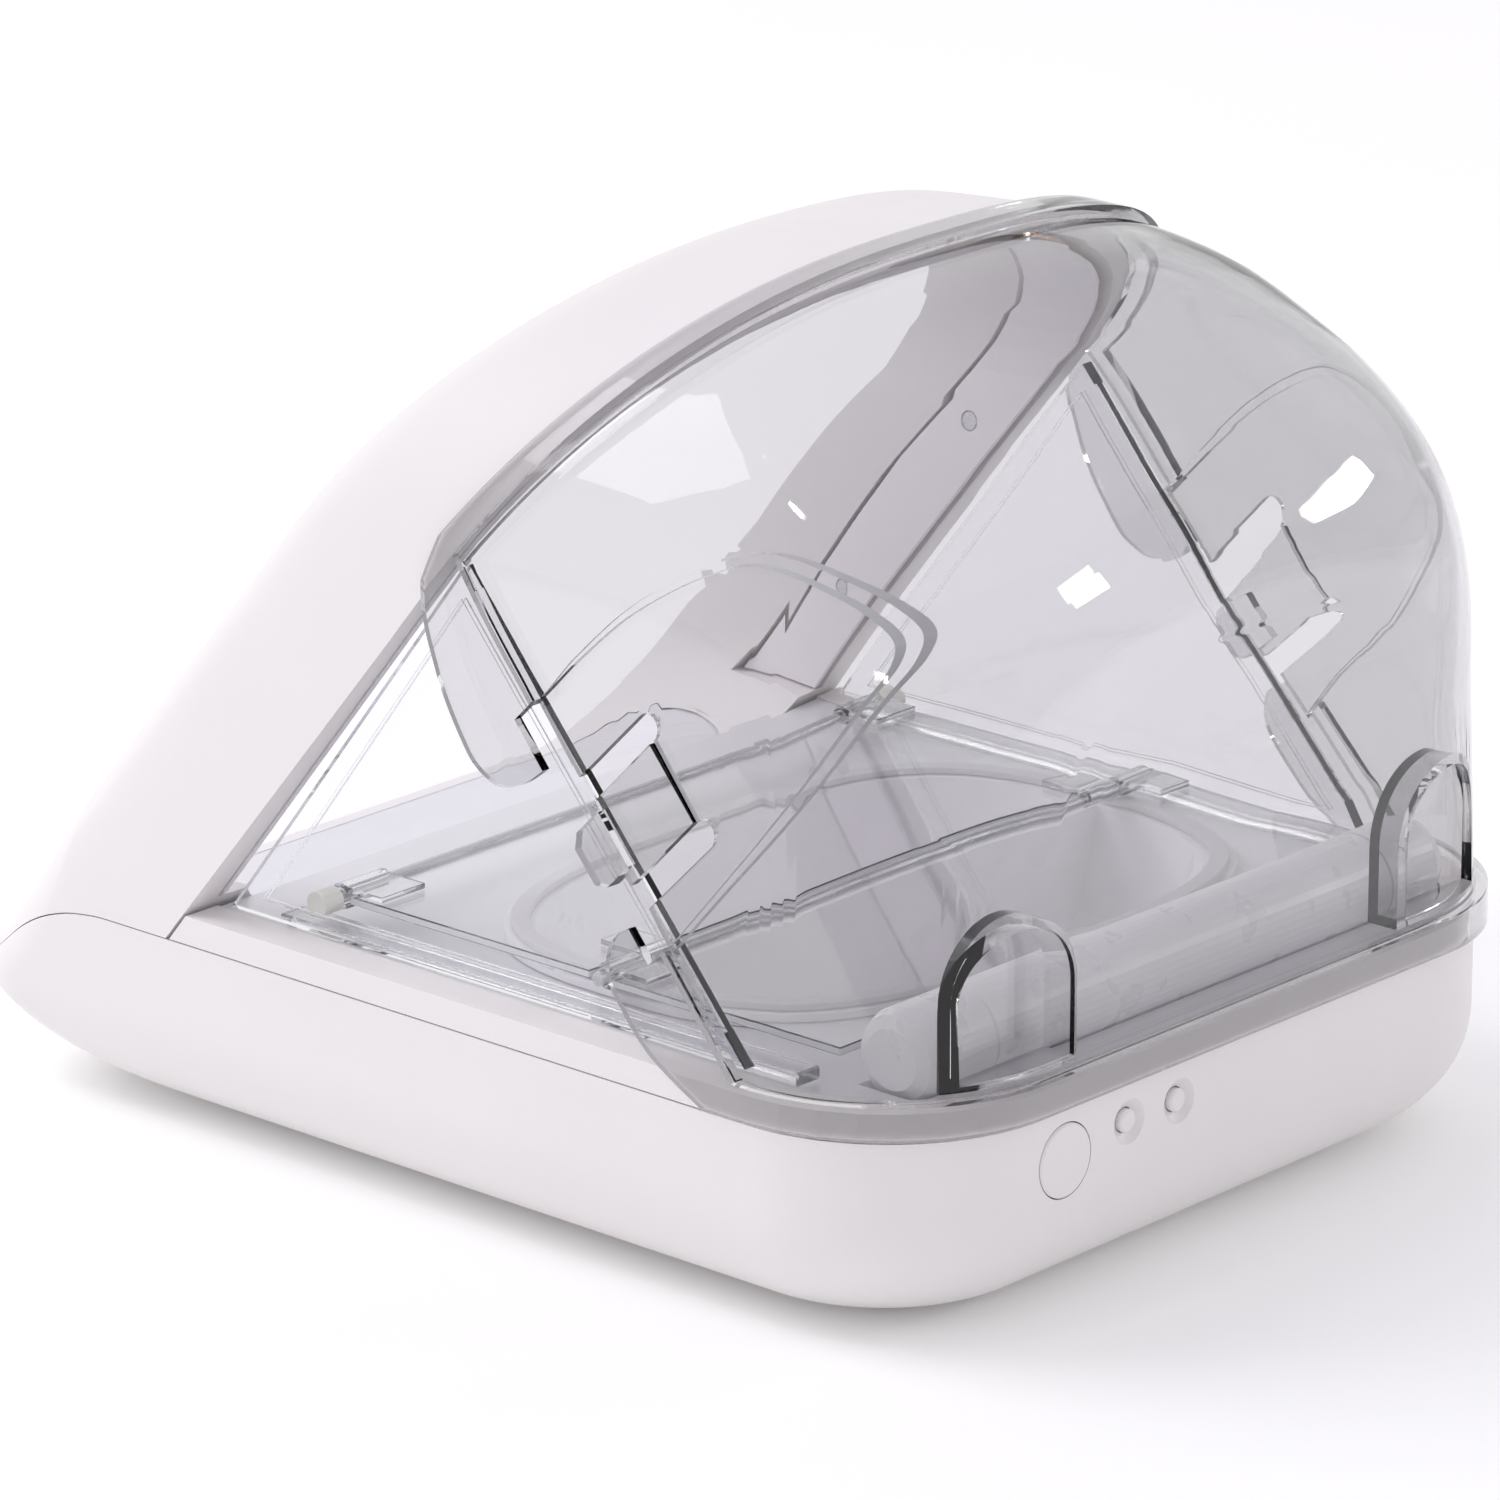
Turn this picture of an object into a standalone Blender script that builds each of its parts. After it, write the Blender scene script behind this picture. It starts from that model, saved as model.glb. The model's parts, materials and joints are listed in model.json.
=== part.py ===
"""Automatic pet feeder: white base and entrance arch, clear hood, folding lid.

Metres, +Z up, front (entrance) at -Y, buttons at +Y, resting on z = 0.
All sizes below are millimetres and are scaled once, when a mesh is made.
"""
import math

import bmesh
import bpy
from mathutils import Matrix, Vector

MM = 0.001
GAP = 0.3

# ---- overall shape -------------------------------------------------------
HALF_W = 115.0            # half width of the base
REAR_Y = 148.5            # rear face of the base
NOSE_Y = -151.5           # front tip of the base
PARTING_Z = 50.0          # top edge of the lower tray
RAIL_Z = 58.0             # bottom of the side windows
CORNER_R = 45.0           # rear corner radius in plan
FILLET_R = 28.0           # rounding under the tray
LEAN = math.radians(50.8)  # slope of the arch planes
CL, SL = math.cos(LEAN), math.sin(LEAN)
RIM_Y, RIM_Z = -70.4, 58.0  # foot of the arch's rear plane
ROOF = [(-60, 219.2), (62, 219.2), (80, 217.0), (98, 208.0), (118, 196.0),
        (132, 184.0), (142, 169.0), (147, 157.0), (148.5, 146.0)]
HOOD_T = 2.2              # wall of the clear hood
RECESS = 1.8              # depth of the side panels in the hood
LIP = 2.6                 # how far the hood's lip stands out

# ---- lid and hinge barrel ------------------------------------------------
BARREL_Y, BARREL_Z, BARREL_R = 124.0, 64.0, 11.0
PANEL = 82.0              # hinge to hinge length of each lid panel
FOLD_Y = BARREL_Y - PANEL
SLIDE_Y = FOLD_Y - PANEL
LID_HALF = 95.0

# ---- bowl ----------------------------------------------------------------
BOWL_Y = 38.0
BOWL_A, BOWL_B = 88.0, 62.0

COLLECTION = "automatic_pet_feeder"


# ---- scene helpers -------------------------------------------------------
OUTLINE_TURN = {"x": (math.pi / 2, 0, math.pi / 2), "y": (math.pi / 2, 0, 0),
                "z": (0, 0, 0)}     # stands a flat outline across its axis
AXIS_TURN = {"x": (0, math.pi / 2, 0), "y": (-math.pi / 2, 0, 0),
             "z": (0, 0, 0)}        # lays a turned piece along its axis
PALETTE = {
    "white": ((0.84, 0.80, 0.80), 0.4, 0.0, 0.0),
    "grey": ((0.52, 0.51, 0.54), 0.4, 0.0, 0.0),
    "silver": ((0.62, 0.61, 0.64), 0.3, 0.3, 0.0),
    "clear": ((0.80, 0.80, 0.83), 0.08, 0.0, 0.85),
    "rubber": ((0.20, 0.20, 0.21), 0.8, 0.0, 0.0),
    "steel": ((0.55, 0.55, 0.57), 0.3, 1.0, 0.0),
    "copper": ((0.60, 0.30, 0.14), 0.35, 1.0, 0.0),
    "board": ((0.05, 0.22, 0.10), 0.5, 0.0, 0.0),
    "cell": ((0.12, 0.12, 0.14), 0.4, 0.2, 0.0),
    "gear": ((0.86, 0.84, 0.78), 0.5, 0.0, 0.0),
}


def clear_scene():
    for item in list(bpy.data.objects):
        bpy.data.objects.remove(item, do_unlink=True)


def collection(name):
    found = bpy.data.collections.get(name)
    if found is None:
        found = bpy.data.collections.new(name)
        bpy.context.scene.collection.children.link(found)
    return found


def material(name, colour, rough, metal, clear):
    mat = bpy.data.materials.new(name)
    mat.use_nodes = True
    shader = mat.node_tree.nodes["Principled BSDF"]
    shader.inputs["Base Color"].default_value = (*colour, 1.0)
    shader.inputs["Roughness"].default_value = rough
    shader.inputs["Metallic"].default_value = metal
    shader.inputs["Transmission Weight"].default_value = clear
    return mat


def place(name, mesh, look, at=(0, 0, 0), turn=(0, 0, 0), smooth=True):
    """Object for a mesh, at a place in millimetres; no look is a cutter."""
    obj = bpy.data.objects.new(name, mesh)
    obj.location = Vector(at) * MM
    obj.rotation_euler = turn
    if look is None:
        collection("cutters").objects.link(obj)
        obj.hide_render = True
        obj.display_type = "WIRE"
        return obj
    collection(COLLECTION).objects.link(obj)
    mesh.materials.append(material(name + "_mat", *PALETTE[look]))
    if smooth and mesh.polygons:
        mesh.shade_smooth()
        mesh.set_sharp_from_angle(angle=math.radians(35))
    return obj


def joint_axis(name, at):
    """Empty on a joint's axis, which the moving pieces hang from."""
    empty = bpy.data.objects.new(name, None)
    empty.location = Vector(at) * MM
    collection(COLLECTION).objects.link(empty)
    return empty


def hang(empty, *pieces):
    for piece in pieces:
        piece.parent = empty
        piece.matrix_parent_inverse = Matrix.Translation(-empty.location)


def boolean(target, tool, kind="DIFFERENCE"):
    mod = target.modifiers.new(kind.lower(), "BOOLEAN")
    mod.operation = kind
    mod.solver = "EXACT"
    mod.object = tool
    return target


def cut(target, *tools):
    for tool in tools:
        boolean(target, tool)
    return target


def bevel(obj, width, segments=1):
    mod = obj.modifiers.new("edges", "BEVEL")
    mod.width = width * MM
    mod.segments = segments
    mod.limit_method = "ANGLE"
    return obj


# ---- solids --------------------------------------------------------------
def finished(name, bm):
    """Mesh data from a bmesh, with its faces pointing out."""
    bmesh.ops.recalc_face_normals(bm, faces=bm.faces)
    mesh = bpy.data.meshes.new(name)
    bm.to_mesh(mesh)
    bm.free()
    return mesh


def box(name, xs, ys, zs, look):
    """Block between pairs of planes, in millimetres."""
    spans = [sorted(pair) for pair in (xs, ys, zs)]
    bm = bmesh.new()
    bmesh.ops.create_cube(bm, size=MM)
    bmesh.ops.scale(bm, vec=[b - a for a, b in spans], verts=bm.verts)
    centre = [(a + b) / 2 for a, b in spans]
    return place(name, finished(name, bm), look, centre, smooth=False)


def cylinder(name, axis, start, radius, length, look, steps=32):
    """Plain cylinder from a start point along an axis; length may be < 0."""
    bm = bmesh.new()
    bmesh.ops.create_cone(bm, cap_ends=True, segments=steps, radius1=radius * MM,
                          radius2=radius * MM, depth=abs(length) * MM)
    middle = list(start)
    middle["xyz".index(axis)] += length / 2
    return place(name, finished(name, bm), look, middle, AXIS_TURN[axis])


def turned(name, axis, start, stations, look, steps=32):
    """Turned solid from (distance along the axis, radius) stations."""
    profile = [(stations[0][0], 0.0)] + list(stations) + [(stations[-1][0], 0.0)]
    if stations[0][0] < stations[-1][0]:
        profile.reverse()           # the outline runs from the top down
    mesh = bpy.data.meshes.new(name)
    mesh.from_pydata([(r * MM, 0, a * MM) for a, r in profile],
                     [(i, i + 1) for i in range(len(profile) - 1)], [])
    obj = place(name, mesh, look, start, AXIS_TURN[axis])
    mod = obj.modifiers.new("turned", "SCREW")
    mod.steps = mod.render_steps = steps
    mod.use_merge_vertices = True
    mod.merge_threshold = 0.00001
    mod.use_smooth_shade = True
    return obj


def flat(name, outline, axis, ends, look, hole=None, smooth=False):
    """Flat outline pushed along an axis between two ends."""
    low, high = sorted(ends)
    curve = bpy.data.curves.new(name, "CURVE")
    curve.dimensions = "2D"
    curve.fill_mode = "BOTH"
    curve.extrude = (high - low) / 2 * MM
    for points in (outline, hole or []):
        if points:
            spline = curve.splines.new("POLY")
            spline.points.add(len(points) - 1)
            for knot, (u, v) in zip(spline.points, points):
                knot.co = (u * MM, v * MM, 0, 1)
            spline.use_cyclic_u = True
    guide = bpy.data.objects.new(name + "_outline", curve)
    collection("cutters").objects.link(guide)
    ready = guide.evaluated_get(bpy.context.evaluated_depsgraph_get())
    raw = bpy.data.meshes.new_from_object(ready)
    bpy.data.objects.remove(guide)
    bm = bmesh.new()
    bm.from_mesh(raw)
    bpy.data.meshes.remove(raw)
    bmesh.ops.remove_doubles(bm, verts=bm.verts, dist=0.000001)
    at = [0, 0, 0]
    at["xyz".index(axis)] = (low + high) / 2
    return place(name, finished(name, bm), look, at, OUTLINE_TURN[axis], smooth)


def loft(name, rings, look):
    """Closed solid through unlike rings with the same number of points."""
    bm = bmesh.new()
    rows = [[bm.verts.new(Vector(p) * MM) for p in ring] for ring in rings]
    for low, high in zip(rows, rows[1:]):
        for i in range(len(low)):
            j = (i + 1) % len(low)
            bm.faces.new((low[i], low[j], high[j], high[i]))
    bm.faces.new(list(reversed(rows[0])))
    bm.faces.new(rows[-1])
    return place(name, finished(name, bm), look)


def superellipse(cx, cy, a, b, power, count=64):
    pts = []
    for i in range(count):
        t = 2 * math.pi * i / count
        c, s = math.cos(t), math.sin(t)
        pts.append((cx + a * math.copysign(abs(c) ** (2 / power), c),
                    cy + b * math.copysign(abs(s) ** (2 / power), s)))
    return pts


def rounded_plan(half, front, rear, r_front, r_rear, steps=7):
    """Plan outline, counter-clockwise, with rounded front and rear corners."""
    pts = []
    corners = [(half - r_front, front + r_front, r_front, -90),
               (half - r_rear, rear - r_rear, r_rear, 0),
               (-half + r_rear, rear - r_rear, r_rear, 90),
               (-half + r_front, front + r_front, r_front, 180)]
    for cx, cy, rad, start in corners:
        for i in range(steps + 1):
            t = math.radians(start + 90.0 * i / steps)
            pts.append((cx + rad * math.cos(t), cy + rad * math.sin(t)))
    return pts


def interp(table, value):
    if value <= table[0][0]:
        return table[0][1]
    for (a, va), (b, vb) in zip(table, table[1:]):
        if value <= b:
            return va + (vb - va) * (value - a) / (b - a)
    return table[-1][1]


# ---- the arch and hood cross-section -------------------------------------
def hoop(half, top, spring, power, low, count=30):
    """Outline (x, z) up the low points, over the top and down again."""
    pts = list(low)
    for i in range(count + 1):
        t = math.pi * i / count
        c, s = math.cos(t), math.sin(t)
        pts.append((half * math.copysign(abs(c) ** (2 / power), c),
                    spring + (top - spring) * abs(s) ** (2 / power)))
    return pts + [(-x, z) for x, z in reversed(low)]


def rim_line(z, offset):
    """Y of the leaning plane at a forward offset, at height z."""
    return RIM_Y + ((z - RIM_Z) * CL - offset) / SL


def on_plane(x, z, offset):
    return (x, rim_line(z, offset), z)


def leaning(x, s, offset):
    """Point s up the leaning plane that lies offset in front of the rim."""
    return (x, RIM_Y + s * CL - offset * SL, RIM_Z + s * SL + offset * CL)


def hood_rings(grow, foot=40.0, front=-60.0):
    """Stations along Y of the hood's outer surface, grown outward."""
    ys = [front, 0, 40, 62, 72, 82, 92, REAR_Y - CORNER_R]
    stations = [(y, 0.0) for y in ys]
    for k in range(1, 8):
        t = math.radians(90.0 * k / 7)
        stations.append((REAR_Y - CORNER_R * (1 - math.sin(t)),
                         CORNER_R * (1 - math.cos(t))))
    rings = []
    for y, pull in stations:
        roof = interp(ROOF, y)
        spring = 60 + (roof - 60) * 0.474
        rad = (y - (REAR_Y - CORNER_R)) / CORNER_R
        out = y + (grow * rad if rad > 0 else 0)
        side = [(x - pull + grow, z) for x, z in
                ((HALF_W, foot), (HALF_W, 50.0), (114.2, 66.0))]
        ring = hoop(111.2 - pull + grow, roof + grow, spring, 2.6, side)
        rings.append([(x, out, z) for x, z in ring])
    return rings


# ---- lower tray ----------------------------------------------------------
NOSE = [(2, -108), (5, -124), (9, -135), (14, -143), (19, -148.5),
        (24, NOSE_Y), (28, -150.5), (32.2, -147.4), (36.2, -142.4)]
NOSE_R = [(2, 40), (10, 32), (19, 26), (36, 20), (60, 16), (100, 9)]
PARTING = [(200, 50), (-98, 50), (-108, 49), (-117, 46.5), (-126, 42),
           (-134, 36.5), (-142, 30), (-150, 24), (-175, 10)]
FEET = [("foot_front_left", 72, -84), ("foot_front_right", -72, -84),
        ("foot_rear_left", 74, 108), ("foot_rear_right", -74, 108)]
BUTTONS = [("button_big", 61.6, 38.1, 8.6), ("button_small_1", 39.6, 41.0, 2.7),
           ("button_small_2", 22.2, 41.0, 2.7)]
SIDES = (("left", 1), ("right", -1))


def inset(z):
    """How far the fillet under the tray pulls in at height z."""
    rise = max(0.0, FILLET_R - (z - 2.0))
    return FILLET_R - math.sqrt(max(0.0, FILLET_R ** 2 - rise ** 2))


def nose(z):
    return interp(NOSE, z) if z <= NOSE[-1][0] else rim_line(z, 42.0)


def tray_ring(z, wall=0.0, at=None):
    pull = inset(z) + wall
    plan = rounded_plan(HALF_W - pull, nose(z) + wall * 1.2, REAR_Y - pull,
                        interp(NOSE_R, z) - wall, CORNER_R - 0.7 * pull)
    return [(x, y, z if at is None else at) for x, y in plan]


def parting_profile(offset, far_z):
    """Side profile between the parting line and a far height."""
    line = [(y, z + offset) for y, z in PARTING]
    return line + [(-175, far_z), (200, far_z)]


def build_tray():
    zs = [2, 3.2, 5, 7.5, 11, 15, 20, 24, 28, 32.2, 36.2, 58]
    tray = loft("base_tray", [tray_ring(z) for z in zs], "white")
    inner = [tray_ring(z, 3.0, at=z + (2.5 if z < 6 else 0)) for z in
             [2.6, 5.5, 8.5, 12, 17, 23, 30, 60]]
    cut(tray, loft("cut_tray_inner", inner, None),
        flat("cut_parting_above", parting_profile(-0.15, 120), "x",
             (-140, 140), None))
    for tag, side in SIDES:
        cut(tray, box(f"cut_battery_{tag}", (side * 6, side * 62), (-91, -36.4),
                      (-1, 9), None))
    for name, x, y in FEET:
        cut(tray, cylinder("cut_" + name, "z", (x, y, -1), 7.3, 4.3, None, 24))
    for name, x, z, rad in BUTTONS:
        seat = [(0, rad + 0.3), (9, rad + 0.3)]
        if rad < 5:
            seat = [(0, rad + 0.3), (6.9, rad + 0.3), (8.6, 5.3), (10, 5.3)]
        cut(tray, turned("cut_" + name, "y", (x, REAR_Y - 8.6, z), seat, None))


def build_feet():
    for name, x, y in FEET:
        turned(name, "z", (x, y, 0), [(0, 6.2), (0.8, 7), (3.0, 7)], "rubber", 24)


def build_buttons():
    inside = REAR_Y - 3.0
    board = box("circuit_board", (8, 78), (138.0, 139.6), (27, 48), "board")
    for name, x, z, rad in BUTTONS:
        tip = REAR_Y + (0.4 if rad > 5 else -0.2) - inside
        stations = [(0, rad * 0.5), (1.2, rad * 0.5), (1.2, rad + 1.8),
                    (2.4, rad + 1.8), (2.4, rad), (tip + 2.4, rad),
                    (tip + 2.8, rad - 0.5)]
        turned(name, "y", (x, inside - 2.8, z), stations, "white", 36)
        boolean(board, box("add_switch_" + name, (x - 3, x + 3), (139.2, 141.0),
                           (z - 3, z + 3), None), "UNION")


# ---- batteries -----------------------------------------------------------
def build_batteries():
    shape = [(0, 11), (0.8, 13), (47, 13), (47.6, 11), (47.6, 4), (49, 4)]
    for tag, side in SIDES:
        holder = box(f"battery_box_{tag}", (side * 4, side * 64), (-93, -35),
                     (5.3, 35), "white")
        cut(holder, box(f"cut_box_{tag}", (side * 5.5, side * 62.5),
                        (-91.5, -36.5), (4, 33.5), None))
        door = bevel(box(f"battery_door_{tag}", (side * 6.4, side * 61.6),
                         (-90.6, -37.4), (2.2, 4.6), "white"), 0.4)
        hang(joint_axis(f"door_hinge_axis_{tag}", (side * 34, -38.6, 3.4)), door)
        box(f"contact_plate_{tag}", (side * 8, side * 60), (-38.2, -37.0),
            (10, 28), "steel")
        for k, cx in enumerate((20, 48)):
            turned(f"battery_{tag}_{k + 1}", "y", (side * cx, -88.4, 19), shape,
                   "cell", 28)


# ---- entrance arch -------------------------------------------------------
def arch_ring(offset, pull):
    """One closed outline of the arch's outer surface on a leaning plane."""
    k = offset / 40.0
    half, top = 111.2 - 2.2 * k - pull, 208.0 - 35.5 * k - pull
    spring, power = 100.0 - 15.0 * k, 2.6 - 0.35 * k
    low = [(HALF_W - pull, 8.0), (HALF_W - pull, 50.0), (114.2 - pull, 66.0)]
    pts = [on_plane(x, z, offset) for x, z in low]
    for i in range(31):
        t = math.pi * i / 30
        c, s = math.cos(t), math.sin(t)
        pts.append(leaning(
            half * math.copysign(abs(c) ** (2 / power), c),
            spring + (top - spring) * abs(s) ** (2 / power), offset))
    return pts + [on_plane(-x, z, offset) for x, z in reversed(low)]


def tunnel(name, half, top, low0, low1, rad):
    """Entrance tunnel along Y with a sloping floor and rounded bottom."""
    rings = []
    for y, low in ((-200, low0), (90, low1)):
        ring = hoop(half, top, 142 + (half - 102) * 0.3, 2.4,
                    [(half, low + rad + 2)])
        for sign, angles in ((-1, range(0, 91, 15)), (1, range(90, -1, -15))):
            for a in angles:
                t = math.radians(a)
                ring.append((sign * (half - rad + rad * math.cos(t)),
                             low + rad - rad * math.sin(t)))
        rings.append([(x, y, z) for x, z in ring])
    return loft(name, rings, None)


def ramp_z(y):
    """Height of the floor inside the entrance."""
    return 33.0 + (y + 143.0) * (54.5 - 33.0) / 77.0


def in_front_of(offset, far=-230.0, low=-20.0, high=260.0):
    """Side profile of everything in front of a leaning plane."""
    return [(far, low), (rim_line(low, offset), low),
            (rim_line(high, offset), high), (far, high)]


def nose_hull():
    """Rounded front of the base, carried up past the arch."""
    rings = []
    for z in (12, 16, 20, 24, 28, 32.2, 36.2, 50, 66, 100, 240):
        plan = rounded_plan(HALF_W + 0.05, nose(z), 120, interp(NOSE_R, z), 20)
        rings.append([(x, y, z) for x, y in plan])
    return loft("keep_nose_hull", rings, None)


def build_arch():
    steps = [(0.6, 0), (12, 0), (24, 0), (33, 0), (36.5, 0.9), (39.3, 2.8),
             (41.2, 6.0), (42, 10.5)]
    arch = loft("arch_shell", [arch_ring(o, p) for o, p in steps], "white")
    boolean(arch, nose_hull(), "INTERSECT")
    entry = tunnel("cut_entrance", 102, 210, ramp_z(-200), ramp_z(90), 24)
    seat = tunnel("cut_liner_seat", 105.6, 213.6, 59.5, 59.5, 0.5)
    cut(seat, flat("cut_seat_front", in_front_of(20.3), "x", (-150, 150), None))
    under = [(-200, -20), (-200, ramp_z(-200) - 3), (-66, ramp_z(-66) - 3),
             (-60, -20)]
    hollow = flat("cut_under_ramp", under, "x", (-103, 103), None)
    cut(hollow, flat("cut_hollow_front", in_front_of(38.0), "x", (-150, 150),
                     None))
    below = flat("cut_parting_below", parting_profile(0.15, -60), "x",
                 (-140, 140), None)
    cut(arch, entry, seat, hollow, below)
    return entry


def build_ramp(entry):
    """Ramp inside the nose, between the tray's rim and the entrance floor."""
    heel_y = -143 + (52.85 - 33.0) * 77.0 / 21.5
    rim = [(y, z - 0.15) for y, z in PARTING if -140 < y <= -98]
    profile = [(-141, ramp_z(-141) - 3.0), (heel_y, 49.85), *rim, (-140.6, 30.9)]
    cut(flat("entry_ramp", profile, "x", (-104.5, 104.5), "grey"), entry)


def band(name, look, half, top, thickness, front, rear, foot):
    """Strip that follows the inside of the arch, thickened outward."""
    outline = hoop(half, top, 142 + (half - 102) * 0.3, 2.4,
                   [(half, foot), (half, foot + 30)])
    bm = bmesh.new()
    rows = [[bm.verts.new(Vector(on_plane(x, z, offset)) * MM)
             for x, z in outline] for offset in (front, rear)]
    for i in range(len(outline) - 1):
        bm.faces.new((rows[1][i], rows[1][i + 1], rows[0][i + 1], rows[0][i]))
    mesh = bpy.data.meshes.new(name)
    bm.to_mesh(mesh)
    bm.free()
    strip = place(name, mesh, look)
    mod = strip.modifiers.new("thickness", "SOLIDIFY")
    mod.thickness = thickness * MM
    mod.offset = 1.0
    mod.use_even_offset = True
    return strip


def build_arch_inside():
    liner = band("arch_liner", "white", 102.0, 210.0, 1.6, 19.0, 1.0, 60.0)
    band("antenna_coil", "copper", 103.95, 211.95, 1.15, 15.0, 6.0, 62.0)
    for tag, side in SIDES:
        for height, z in (("low", 88.0), ("high", 137.5)):
            name, y = f"liner_screw_{tag}_{height}", rim_line(z, 10.0)
            cut(liner, cylinder("cut_" + name, "x", (side * 101.0, y, z), 2.6,
                                side * 1.9, None, 20))
            cylinder(name, "x", (side * 102.1, y, z), 2.3, side * 0.5, "steel",
                     16)


# ---- upper deck ----------------------------------------------------------
def side_plan(half, front, rear, rad, steps=8):
    """Open-front U: right side, round the rear, left side."""
    pts = [(half, front)]
    for k in range(steps + 1):
        t = math.radians(90.0 * k / steps)
        pts.append((half - rad + rad * math.cos(t),
                    rear - rad + rad * math.sin(t)))
    return pts + [(-x, y) for x, y in reversed(pts)]


def build_deck():
    outer = side_plan(HALF_W - 0.2, -90, REAR_Y - 0.2, CORNER_R)
    inner = side_plan(104.5, -90, 142, 36)
    ring = flat("deck_surround", outer + list(reversed(inner)), "z", (50.15, 57),
                "white")
    cut(ring, flat("cut_surround_front", in_front_of(-0.2), "x", (-150, 150),
                   None))
    plate = flat("deck_plate", side_plan(104.2, -70.9, 141.7, 36), "z",
                 (51.5, 56.5), "silver", hole=superellipse(
                     0, BOWL_Y, BOWL_A - 3.2, BOWL_B - 3.2, 3))
    cut(plate, cylinder("cut_barrel_seat", "x", (-92.5, BARREL_Y, BARREL_Z),
                        BARREL_R + 0.4, 185, None, 40))
    for tag, side in SIDES:
        bevel(box(f"slide_rail_{tag}", (side * 96.0, side * 103.6), (-50, 108),
                  (56.8, 60.2), "clear"), 0.5)


def build_windows():
    outline = [(-62.5, 59.6), (97, 59.6), (13.4, 156.6)]
    hole = [(-52.5, 63.6), (86.5, 63.6), (13.0, 149.5)]
    for tag, side in SIDES:
        pane = flat(f"side_window_{tag}", outline, "x",
                    (side * 105.0, side * 108.2), "clear")
        for k, (a, b) in enumerate(((100, 105.9), (107.7, 112))):
            cut(pane, flat(f"cut_pane_{tag}_{k}", hole, "x",
                           (side * a, side * b), None))


# ---- bowl ----------------------------------------------------------------
def bowl_ring(a, b, z):
    return [(x, y, z) for x, y in superellipse(0, BOWL_Y, a, b, 3)]


def build_bowl():
    bowl = loft("bowl", [bowl_ring(*station) for station in (
        (66, 42, 24), (72, 48, 26), (77, 53, 33), (83.8, 58, 56.8),
        (BOWL_A, BOWL_B, 56.8), (BOWL_A, BOWL_B, 58.6))], "grey")
    for k, ys in enumerate(((-60, BOWL_Y - 1.4), (BOWL_Y + 1.4, 160))):
        hollow = loft(f"cut_bowl_{k}", [bowl_ring(*station) for station in (
            (64, 40, 26.2), (70, 46, 28.2), (75, 51, 34), (81.5, 55.7, 60))],
            None)
        boolean(hollow, box(f"keep_bowl_half_{k}", (-120, 120), ys, (0, 90),
                            None), "INTERSECT")
        cut(bowl, hollow)
    bevel(flat("bowl_seal", superellipse(0, BOWL_Y, 86.6, 60.6, 3), "z",
               (58.9, 60.5), "rubber", smooth=True,
               hole=superellipse(0, BOWL_Y, 82.6, 56.8, 3)), 0.5)


# ---- folding lid and barrel ----------------------------------------------
def hook(y, z, way, reach=13.0):
    """Side profile of a hinge hook round a pin, its leaf reaching +way."""
    pts = [(reach, 2.6), (1.87, 2.6)]
    pts += [(3.2 * math.cos(math.radians(a)), 3.2 * math.sin(math.radians(a)))
            for a in range(66, 301, 18)]
    pts += [(2.05 * math.cos(math.radians(a)), 2.05 * math.sin(math.radians(a)))
            for a in range(300, 23, -23)]
    pts += [(2.92, 1.3), (reach, 1.3)]
    return [(y + way * a, z + b) for a, b in pts]


def hinge_leaves(prefix, pin_y, way, near, far):
    return [flat(f"{prefix}_{tag}", hook(pin_y, BARREL_Z, way), "x",
                 (side * near, side * far), "clear") for tag, side in SIDES]


def lid_panel(name, low_y, high_y):
    return bevel(box(name, (-LID_HALF, LID_HALF), (low_y, high_y),
                     (BARREL_Z - 1.0, BARREL_Z + 1.0), "clear"), 0.3)


def build_lid():
    """Rear half: barrel and panel; front half: panel, pins and rollers."""
    hinge = joint_axis("lid_hinge_axis", (0, BARREL_Y, BARREL_Z))
    hang(hinge,
         bevel(cylinder("hinge_barrel", "x", (-69.6, BARREL_Y, BARREL_Z),
                        BARREL_R, 139.2, "silver", 40), 0.4),
         lid_panel("lid_rear_panel", FOLD_Y + 3.6, BARREL_Y - BARREL_R - 0.35),
         cylinder("fold_pin", "x", (-96, FOLD_Y, BARREL_Z), 1.7, 192, "steel",
                  16),
         cylinder("drive_hub", "x", (69.9, BARREL_Y, BARREL_Z), 6.0, 2.2,
                  "gear", 24),
         *hinge_leaves("fold_hinge_rear", FOLD_Y, 1, 83, 93))
    rollers = [cylinder(f"slide_roller_{tag}", "x",
                        (side * 96.2, SLIDE_Y, BARREL_Z), 3.0, side * 6.0,
                        "gear", 20) for tag, side in SIDES]
    hang(joint_axis("lid_fold_axis", (0, FOLD_Y, BARREL_Z)),
         lid_panel("lid_front_panel", SLIDE_Y + 3.6, FOLD_Y - 3.6),
         cylinder("slide_pin", "x", (-95.7, SLIDE_Y, BARREL_Z), 1.7, 191.4,
                  "steel", 16),
         *hinge_leaves("fold_hinge_front", FOLD_Y, -1, 71, 81),
         *hinge_leaves("slider_bracket", SLIDE_Y, 1, 80, 94), *rollers)


def build_drive():
    """Geared motor in the left barrel end, plain pivot in the right one."""
    for tag, side in SIDES:
        ends = [(0, 11), (side * 17, 11), (side * 20, 9.8), (side * 21.5, 7)]
        cap = turned(f"barrel_end_{tag}", "x", (side * 70.0, BARREL_Y, BARREL_Z),
                     ends, "silver", 40)
        cut(cap, cylinder(f"cut_cap_{tag}", "x", (side * 69, BARREL_Y, BARREL_Z),
                          8.2, side * 18.4, None))
    cylinder("drive_motor", "x", (72.4, BARREL_Y, BARREL_Z), 7.8, 14.6, "steel")
    cylinder("barrel_pivot", "x", (-83.0, BARREL_Y, BARREL_Z), 6.0, 13.1,
             "steel", 24)


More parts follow.
